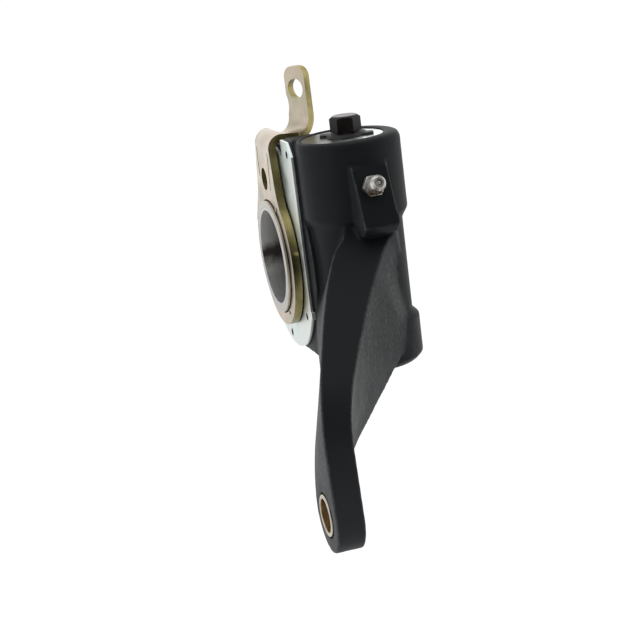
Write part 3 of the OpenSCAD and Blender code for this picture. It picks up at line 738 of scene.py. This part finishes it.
def coated_steel(name, lighter_above):
    """Black-brown coated steel, rubbed on its edges and lighter above a height"""
    material, tree, shader = new_material(name)
    shader.inputs["Specular IOR Level"].default_value = 0.14
    base = Vector(colours().phosphate)
    fine = group_node(tree, "Grain", scale=1300.0, detail=4.0)
    clouds = group_node(tree, "Grain", scale=190.0, detail=3.0)
    wear = group_node(tree, "Edge wear", width=0.4 * MM, gain=6.0, breakup=600.0)
    shade = spread(tree, clouds.outputs["Value"], 0.35, 0.7)
    coat = mix_colour(tree, shade, tuple(base * 0.75), tuple(base * 1.7))
    edge = math_node(tree, "MULTIPLY", wear.outputs["Mask"], 0.6)
    edged = mix_colour(tree, edge, coat, (0.17, 0.13, 0.12))
    place = add_node(tree, "ShaderNodeTexCoord").outputs["Object"]
    height = add_node(tree, "ShaderNodeSeparateXYZ", {"Vector": place}).outputs["Z"]
    # The top above the given height turns light grey
    high = spread(tree, height, lighter_above, lighter_above + 0.1 * MM)
    top_lightening = math_node(tree, "MULTIPLY", high, spread(tree, clouds.outputs["Value"], 0.25, 0.6, 0.5, 1.0))
    tree.links.new(mix_colour(tree, top_lightening, edged, (0.48, 0.44, 0.45)), shader.inputs["Base Color"])
    tree.links.new(spread(tree, clouds.outputs["Value"], 0.3, 0.7, 0.36, 0.54), shader.inputs["Roughness"])
    bump(tree, shader, fine.outputs["Value"], 0.3, 0.04 * MM)
    return material


@cache
def phosphate_steel():
    """Coated steel of the inner works"""
    return coated_steel("phosphate_steel", OUT_OF_REACH)


@cache
def hexagon_steel():
    """Coated steel of the adjusting screw, lighter on the hexagon's top"""
    return coated_steel("hexagon_steel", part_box("worm_screw")[1].z - 0.15 * MM)


@cache
def bush_lining():
    """Bright steel rim of the clevis bush with a bronze lining in its bore"""
    material, tree, shader = new_material("bush_lining", metallic=1.0)
    lo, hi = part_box("clevis_bush")
    centre = (lo + hi) / 2
    rings = group_node(tree, "Turning marks", centre=tuple(centre), pitch=0.3 * MM)
    stains = group_node(tree, "Grain", scale=260.0, detail=4.0)
    radius = rings.outputs["Radius"]
    rim = spread(tree, radius, LINING_RADIUS - 0.1 * MM, LINING_RADIUS + 0.1 * MM)
    bronze = Vector(colours().bronze)
    dull = spread(tree, stains.outputs["Value"], 0.35, 0.7)
    lining = mix_colour(tree, dull, tuple(bronze), tuple(bronze * 0.5))
    bright = mix_colour(
        tree,
        spread(tree, rings.outputs["Value"], 0.3, 0.7, 0.0, 0.5),
        (0.56, 0.51, 0.42),
        (0.36, 0.32, 0.25),
    )
    tree.links.new(mix_colour(tree, rim, lining, bright), shader.inputs["Base Color"])
    tree.links.new(spread(tree, stains.outputs["Value"], 0.3, 0.7, 0.28, 0.46), shader.inputs["Roughness"])
    bump(tree, shader, rings.outputs["Value"], 0.2, 0.03 * MM)
    return material


@cache
def seal_rubber():
    """Black rubber with a faint bloom"""
    material, tree, shader = new_material("seal_rubber")
    base = Vector(colours().rubber)
    bloom = group_node(tree, "Grain", scale=220.0, detail=4.0)
    fine = group_node(tree, "Grain", scale=1800.0, detail=2.0)
    shade = spread(tree, bloom.outputs["Value"], 0.4, 0.75)
    tree.links.new(mix_colour(tree, shade, tuple(base), tuple(base * 2.2)), shader.inputs["Base Color"])
    tree.links.new(spread(tree, bloom.outputs["Value"], 0.3, 0.7, 0.55, 0.72), shader.inputs["Roughness"])
    bump(tree, shader, fine.outputs["Value"], 0.25, 0.04 * MM)
    return material


def plain_metal(name, base, low, high):
    """Drawn or ground metal with fine mottling"""
    material, tree, shader = new_material(name, metallic=1.0)
    mottle = group_node(tree, "Grain", scale=380.0, detail=4.0)
    fine = group_node(tree, "Grain", scale=1600.0, detail=2.0)
    shade = spread(tree, mottle.outputs["Value"], 0.35, 0.7)
    base = Vector(base)
    tree.links.new(mix_colour(tree, shade, tuple(base), tuple(base * 0.68)), shader.inputs["Base Color"])
    tree.links.new(spread(tree, mottle.outputs["Value"], 0.3, 0.7, low, high), shader.inputs["Roughness"])
    bump(tree, shader, fine.outputs["Value"], 0.2, 0.03 * MM)
    return material


@cache
def spring_wire():
    """Drawn spring wire"""
    return plain_metal("spring_wire", tuple(colours().wire), 0.3, 0.45)


@cache
def ground_steel():
    """Ground steel of the inner works"""
    return plain_metal("ground_steel", tuple(Vector(colours().steel) * 0.85), 0.26, 0.4)


@cache
def bearing_bronze():
    """Bronze of the top bearing"""
    return plain_metal("bearing_bronze", (0.52, 0.36, 0.16), 0.3, 0.45)


@cache
def nipple_zinc():
    """Zinc of the grease nipple, dark brown towards its base"""
    material, tree, shader = new_material("nipple_zinc", metallic=0.8)
    lo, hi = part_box("grease_nipple")
    span = hi.z - lo.z
    mottle = group_node(tree, "Grain", scale=520.0, detail=4.0)
    place = add_node(tree, "ShaderNodeTexCoord").outputs["Object"]
    height = add_node(tree, "ShaderNodeSeparateXYZ", {"Vector": place}).outputs["Z"]
    # Darker and browner towards the base, in patches
    low = spread(tree, height, lo.z + span * 0.25, lo.z + span * 0.7, 1.0, 0.0)
    dark_patch_mask = math_node(tree, "MULTIPLY", low, spread(tree, mottle.outputs["Value"], 0.30, 0.48))
    clean = mix_colour(
        tree,
        spread(tree, mottle.outputs["Value"], 0.35, 0.7),
        (0.64, 0.63, 0.60),
        (0.27, 0.265, 0.245),
    )
    tree.links.new(mix_colour(tree, dark_patch_mask, clean, (0.10, 0.068, 0.042)), shader.inputs["Base Color"])
    tree.links.new(spread(tree, mottle.outputs["Value"], 0.3, 0.7, 0.24, 0.42), shader.inputs["Roughness"])
    bump(tree, shader, mottle.outputs["Value"], 0.15, 0.03 * MM)
    return material


# Pieces


def applied(context, piece):
    """The piece with its modifiers worked in, in place of the given one"""
    seen = piece.evaluated_get(context.evaluated_depsgraph_get())
    mesh = bpy.data.meshes.new_from_object(seen)
    made = bpy.data.objects.new(piece.name, mesh)
    context.scene.collection.objects.link(made)
    bpy.data.objects.remove(piece)
    return made


def flank_points(mesh):
    """Points on the open faces of the lever arm, a few rows away from every edge"""
    bm = bmesh.new()
    bm.from_mesh(mesh)
    edge_points = set()
    for edge in bm.edges:
        if edge.calc_face_angle(0.0) > ARM_EDGE_ANGLE:
            edge_points.update(edge.verts)
    for _ in range(ARM_EDGE_ROWS):
        edge_points |= {e.other_vert(v) for v in edge_points for e in v.link_edges}
    open_points = [v.index for v in bm.verts if v.co.y < ARM_START and v not in edge_points]
    bm.free()
    return open_points


def slot_end(bm):
    """Adds a box that keeps the end of the rack's slot square"""
    points = [v.co for v in frame["nodes"]["rack"].data.vertices]
    near = min(p.y for p in points)
    end = [p for p in points if p.y < near + 0.1 * MM]
    room = 0.45 * MM
    lo = Vector((min(p.x for p in end) - room, near - 0.85 * MM, min(p.z for p in end) - room))
    hi = Vector((max(p.x for p in end) + room, near + 4 * MM, max(p.z for p in end) + room))
    size = Matrix.Diagonal((hi - lo).to_4d())
    size[3][3] = 1.0
    bmesh.ops.create_cube(bm, size=1.0, matrix=Matrix.Translation((lo + hi) / 2) @ size)


def groove_cutter(context):
    """Rings and a box that cut the grooves round the bush and the rack's slot sharp"""
    lo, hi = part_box("clevis_bush")
    centre = (lo + hi) / 2
    reach = (hi.x - lo.x) / 2
    inner = (hi.z - lo.z) / 2 + 0.02 * MM
    outer = inner + sizes().bush_groove
    floor = reach - 1.6 * MM
    bm = bmesh.new()
    for side in (-1, 1):
        ring = turned(
            [
                (side * floor, inner),
                (side * floor, outer),
                (side * (reach + 3 * MM), outer + 0.5 * MM),
                (side * (reach + 3 * MM), inner),
            ],
            X_AXIS,
        )
        mesh = bpy.data.meshes.new("groove_side")
        ring.to_mesh(mesh)
        ring.free()
        bm.from_mesh(mesh)
        bpy.data.meshes.remove(mesh)
    bmesh.ops.translate(bm, verts=bm.verts, vec=centre)
    slot_end(bm)
    mesh = bpy.data.meshes.new("groove_cutter")
    bm.to_mesh(mesh)
    bm.free()
    cutter = bpy.data.objects.new("groove_cutter", mesh)
    context.scene.collection.objects.link(cutter)
    return cutter


class ADJUSTER_OT_casting(bpy.types.Operator):
    """Casting with the lever arm, its edges softened as forging and paint leave them"""

    bl_idname = "adjuster.casting"
    bl_label = "Casting"

    def execute(self, context):
        bm = merged_node("housing")
        bmesh.ops.triangulate(bm, faces=bm.faces)
        mesh = bpy.data.meshes.new("casting_rough")
        bm.to_mesh(mesh)
        bm.free()
        rough = bpy.data.objects.new("casting_rough", mesh)
        context.scene.collection.objects.link(rough)
        remesh = rough.modifiers.new("Grid", "REMESH")
        remesh.mode = "VOXEL"
        remesh.voxel_size = sizes().casting_grid
        soften = rough.modifiers.new("Soften", "SMOOTH")
        soften.factor = 0.5
        soften.iterations = sizes().casting_soften
        soft = applied(context, rough)
        flanks = soft.vertex_groups.new(name="flanks")
        flanks.add(flank_points(soft.data), 1.0, "REPLACE")
        even = soft.modifiers.new("Even", "SMOOTH")
        even.factor = 0.5
        even.iterations = sizes().flank_soften
        even.vertex_group = "flanks"
        thin = soft.modifiers.new("Thin", "DECIMATE")
        thin.ratio = 0.45
        cutter = groove_cutter(context)
        groove = soft.modifiers.new("Groove", "BOOLEAN")
        groove.operation = "DIFFERENCE"
        groove.solver = "EXACT"
        groove.object = cutter
        done = applied(context, soft)
        mesh = done.data
        bpy.data.objects.remove(cutter)
        bpy.data.objects.remove(done)
        finish_piece(mesh, "casting", "housing", cast_paint(), smooth_angle=60.0)
        return {"FINISHED"}


class ADJUSTER_OT_clevis_bush(bpy.types.Operator):
    """Bush with rounded edges, pressed into the eye of the arm"""

    bl_idname = "adjuster.clevis_bush"
    bl_label = "Clevis Bush"

    def execute(self, context):
        rounded_node("clevis_bush", "bush", sizes().turned_edge, bush_lining())
        return {"FINISHED"}


class ADJUSTER_OT_cover(bpy.types.Operator):
    """Cover plate on its gasket with flush screws"""

    bl_idname = "adjuster.cover"
    bl_label = "Cover"

    def execute(self, context):
        rounded_node("cover_plate", "plate", sizes().plate_edge, white_plating())
        finish_node("cover_gasket", seal_rubber())
        bm = merged_node("cover_screws")
        outer = min(v.co.x for v in bm.verts)
        caps = [f for f in bm.faces if f.calc_center_median().x < outer + 0.02 * MM]
        if not caps:
            raise RuntimeError("The cover screws have no heads")
        bmesh.ops.inset_region(bm, faces=caps, thickness=0.55 * MM, depth=0.0, use_even_offset=True)
        for face in caps:
            face.material_index = 1
        bmesh.ops.inset_region(bm, faces=caps, thickness=0.1 * MM, depth=-0.8 * MM, use_even_offset=True)
        bevel_sharp(bm, 0.12 * MM, 2)
        screws = add_piece(bm, "screws", "cover_screws", white_plating())
        screws.data.materials.append(phosphate_steel())
        return {"FINISHED"}


def is_sheet_edge(face):
    """True for a face that the punch left on the control arm, across its thickness"""
    place = face.calc_center_median()
    normal = face.normal
    if place.z < NECK_TOP:
        return abs(normal.x) < 0.5
    if place.z > TAB_FOOT:
        return abs(normal.dot(TAB_NORMAL)) < 0.5
    neck_skin = abs(normal.x) > 0.9 and place.z < NECK_TOP + 2 * MM
    tab_skin = abs(normal.dot(TAB_NORMAL)) > 0.9 and place.z > TAB_FOOT - 3 * MM
    return abs(normal.z) < 0.2 and not neck_skin and not tab_skin


class ADJUSTER_OT_control_arm(bpy.types.Operator):
    """Pressed control arm with its riveted disc and seal"""

    bl_idname = "adjuster.control_arm"
    bl_label = "Control Arm"

    def execute(self, context):
        bm = merged_node("control_arm")
        bmesh.ops.recalc_face_normals(bm, faces=bm.faces)
        for face in bm.faces:
            face.material_index = int(is_sheet_edge(face))
        bevel_sharp(bm, sizes().sheet_edge)
        sheet = add_piece(bm, "control_sheet", "control_arm", gold_plating())
        sheet.data.materials.append(punched_edge())
        rounded_node("disc_rivets", "rivets", 0.4 * MM, gold_plating())
        finish_node("control_disc", ground_steel())
        finish_node("control_seal", seal_rubber())
        return {"FINISHED"}


class ADJUSTER_OT_worm_wheel(bpy.types.Operator):
    """Splined worm wheel with its ring and seal"""

    bl_idname = "adjuster.worm_wheel"
    bl_label = "Worm Wheel"

    def execute(self, context):
        rounded_node("worm_wheel", "wheel", sizes().turned_edge, turned_steel(), 2)
        rounded_node("retaining_ring", "snap_ring", 0.25 * MM, phosphate_steel(), 2)
        finish_node("wheel_seal", seal_rubber())
        return {"FINISHED"}


class ADJUSTER_OT_adjusting_screw(bpy.types.Operator):
    """Worm with its hexagon, end cover and grommet"""

    bl_idname = "adjuster.adjusting_screw"
    bl_label = "Adjusting Screw"

    def execute(self, context):
        rounded_node("worm_screw", "worm", 0.3 * MM, hexagon_steel(), 2)
        rounded_node("end_cover", "end_disc", 0.3 * MM, end_disc_zinc_with_painted_reflection())
        rounded_node("hex_grommet", "grommet", 0.3 * MM, seal_rubber())
        finish_node("top_bearing", bearing_bronze())
        return {"FINISHED"}


class ADJUSTER_OT_nipple(bpy.types.Operator):
    """Grease nipple with its check ball"""

    bl_idname = "adjuster.nipple"
    bl_label = "Grease Nipple"

    def execute(self, context):
        rounded_node("grease_nipple", "nipple", 0.25 * MM, nipple_zinc())
        finish_node("nipple_ball", ground_steel())
        return {"FINISHED"}


class ADJUSTER_OT_inner_works(bpy.types.Operator):
    """Washers, springs, clutch and rack inside the casting"""

    bl_idname = "adjuster.inner_works"
    bl_label = "Inner Works"

    def execute(self, context):
        for node in ("thrust_washer", "clutch_sleeve", "rack", "clutch_pinion"):
            finish_node(node, ground_steel())
        for node in ("spring_seat", "bottom_plug"):
            finish_node(node, phosphate_steel())
        for node in ("coil_spring", "wrap_spring"):
            finish_node(node, spring_wire())
        return {"FINISHED"}


# Stage


def seen_rays(tree):
    """One for rays that show the background: from the camera, a gloss or a clear surface"""
    path = add_node(tree, "ShaderNodeLightPath")
    both = math_node(
        tree, "MAXIMUM", path.outputs["Is Camera Ray"], path.outputs["Is Glossy Ray"]
    )
    return math_node(tree, "MAXIMUM", both, path.outputs["Is Transmission Ray"])


def studio_floor():
    """White floor that still takes a share of the shadow and is clear from below"""
    material = bpy.data.materials.new("studio_floor")
    material.use_nodes = True
    tree = material.node_tree
    tree.nodes.clear()
    result = tree.nodes.new("ShaderNodeOutputMaterial")
    matt = add_node(tree, "ShaderNodeBsdfDiffuse", {"Color": (0.85, 0.85, 0.85)})
    glow = add_node(tree, "ShaderNodeEmission", {"Color": (1, 1, 1), "Strength": 1.12})
    share = math_node(tree, "MULTIPLY", seen_rays(tree), 0.88)
    mixed = add_node(tree, "ShaderNodeMixShader", {0: share, 1: matt.outputs[0], 2: glow.outputs[0]})
    below = add_node(tree, "ShaderNodeNewGeometry").outputs["Backfacing"]
    clear = tree.nodes.new("ShaderNodeBsdfTransparent")
    sided = add_node(tree, "ShaderNodeMixShader", {0: below, 1: mixed.outputs[0], 2: clear.outputs[0]})
    tree.links.new(sided.outputs[0], result.inputs["Surface"])
    return material


def dark_card():
    """Black card behind the camera, which only reflections see"""
    material = bpy.data.materials.new("card_black")
    material.use_nodes = True
    shader = material.node_tree.nodes["Principled BSDF"]
    shader.inputs["Base Color"].default_value = (0.01, 0.01, 0.01, 1.0)
    shader.inputs["Roughness"].default_value = 0.9
    bm = bmesh.new()
    bmesh.ops.create_grid(bm, x_segments=1, y_segments=1, size=CARD_SIZE)
    turn = Matrix.Rotation(math.radians(90), 4, "X")
    shift = Matrix.Translation((-0.2, -1.15, 0.25))
    bmesh.ops.transform(bm, matrix=shift @ turn, verts=bm.verts)
    mesh = bpy.data.meshes.new("card")
    bm.to_mesh(mesh)
    bm.free()
    mesh.materials.append(material)
    card = bpy.data.objects.new("card", mesh)
    card.visible_camera = False
    card.visible_shadow = False
    bpy.context.scene.collection.objects.link(card)


def studio_world():
    """Weak grey fill, white where the background is seen"""
    world = bpy.data.worlds.new("studio")
    world.use_nodes = True
    tree = world.node_tree
    tree.nodes.clear()
    result = tree.nodes.new("ShaderNodeOutputWorld")
    strength = spread(tree, seen_rays(tree), 0.0, 1.0, 0.4, 1.0)
    glow = add_node(tree, "ShaderNodeBackground", {"Color": (1, 1, 1), "Strength": strength})
    tree.links.new(glow.outputs[0], result.inputs["Surface"])
    return world


def soft_box(name, place):
    """A square area lamp aimed at the part"""
    lamp = bpy.data.lights.new(name, "AREA")
    lamp.shape = "SQUARE"
    lamp.size = SOFT_BOX_SIZE
    lamp.energy = SOFT_BOX_POWER
    box = bpy.data.objects.new(name, lamp)
    box.location = place
    aim = Vector(SOFT_BOX_TARGET) - Vector(place)
    box.rotation_euler = aim.to_track_quat("-Z", "Y").to_euler()
    bpy.context.scene.collection.objects.link(box)


def photo_camera():
    """The camera at the photograph's place"""
    back = Vector((
        math.sin(CAMERA_AZIMUTH) * math.cos(CAMERA_ELEVATION),
        -math.cos(CAMERA_AZIMUTH) * math.cos(CAMERA_ELEVATION),
        math.sin(CAMERA_ELEVATION),
    ))
    level = (-back).cross(Z_AXIS).normalized()
    upright = level.cross(-back)
    c = math.cos(CAMERA_ROLL)
    s = math.sin(CAMERA_ROLL)
    right = level * c + upright * s
    up = upright * c - level * s
    across, down, far = CAMERA_OFFSET
    eye = back * far - right * across + up * down
    lens = bpy.data.cameras.new("photo_camera")
    lens.sensor_width = SENSOR_WIDTH
    lens.lens = CAMERA_FOCAL_PX / PICTURE_PX * SENSOR_WIDTH
    lens.clip_start = 0.01
    lens.clip_end = 50.0
    camera = bpy.data.objects.new("photo_camera", lens)
    axes = Matrix((right, up, back)).transposed().to_4x4()
    camera.matrix_world = Matrix.Translation(eye) @ axes
    bpy.context.scene.collection.objects.link(camera)
    bpy.context.scene.camera = camera


class ADJUSTER_OT_stage(bpy.types.Operator):
    """Pale floor, soft boxes, dark card and the camera"""

    bl_idname = "adjuster.stage"
    bl_label = "Stage"

    def execute(self, context):
        scene = context.scene
        scene.view_settings.view_transform = "Standard"
        scene.world = studio_world()
        lowest = CAD_BOX[0].z - sizes().floor_drop
        bm = bmesh.new()
        bmesh.ops.create_circle(bm, cap_ends=True, segments=64, radius=FLOOR_RADIUS)
        bmesh.ops.translate(bm, verts=bm.verts, vec=(0, 0, lowest))
        mesh = bpy.data.meshes.new("floor")
        bm.to_mesh(mesh)
        bm.free()
        mesh.materials.append(studio_floor())
        floor = bpy.data.objects.new("floor", mesh)
        scene.collection.objects.link(floor)
        for name, place in SOFT_BOXES.items():
            soft_box(name, place)
        dark_card()
        photo_camera()
        return {"FINISHED"}


OPERATORS = (
    ADJUSTER_OT_casting,
    ADJUSTER_OT_clevis_bush,
    ADJUSTER_OT_cover,
    ADJUSTER_OT_control_arm,
    ADJUSTER_OT_worm_wheel,
    ADJUSTER_OT_adjusting_screw,
    ADJUSTER_OT_nipple,
    ADJUSTER_OT_inner_works,
    ADJUSTER_OT_stage,
)


class ADJUSTER_PT_panel(bpy.types.Panel):
    """Lists the pieces, sizes and colours"""

    bl_idname = "ADJUSTER_PT_panel"
    bl_label = "Slack Adjuster"
    bl_space_type = "VIEW_3D"
    bl_region_type = "UI"
    bl_category = "Adjuster"

    def draw(self, context):
        layout = self.layout
        for group in (context.scene.adjuster_sizes, context.scene.adjuster_colours):
            column = layout.column(align=True)
            for key in group.__annotations__:
                column.prop(group, key)
        column = layout.column(align=True)
        for operator in OPERATORS:
            column.operator(operator.bl_idname)


CLASSES = (AdjusterSizes, AdjusterColours, *OPERATORS, ADJUSTER_PT_panel)


def register():
    """Registers the classes and the scene's settings"""
    for item in CLASSES:
        bpy.utils.register_class(item)
    bpy.types.Scene.adjuster_sizes = PointerProperty(type=AdjusterSizes)
    bpy.types.Scene.adjuster_colours = PointerProperty(type=AdjusterColours)


def unregister():
    """Takes the settings and classes away again"""
    del bpy.types.Scene.adjuster_colours
    del bpy.types.Scene.adjuster_sizes
    for item in reversed(CLASSES):
        bpy.utils.unregister_class(item)


def main():
    """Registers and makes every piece"""
    register()
    bpy.ops.adjuster.casting()
    bpy.ops.adjuster.clevis_bush()
    bpy.ops.adjuster.cover()
    bpy.ops.adjuster.control_arm()
    bpy.ops.adjuster.worm_wheel()
    bpy.ops.adjuster.adjusting_screw()
    bpy.ops.adjuster.nipple()
    bpy.ops.adjuster.inner_works()
    bpy.ops.adjuster.stage()


if __name__ == "__main__":
    main()
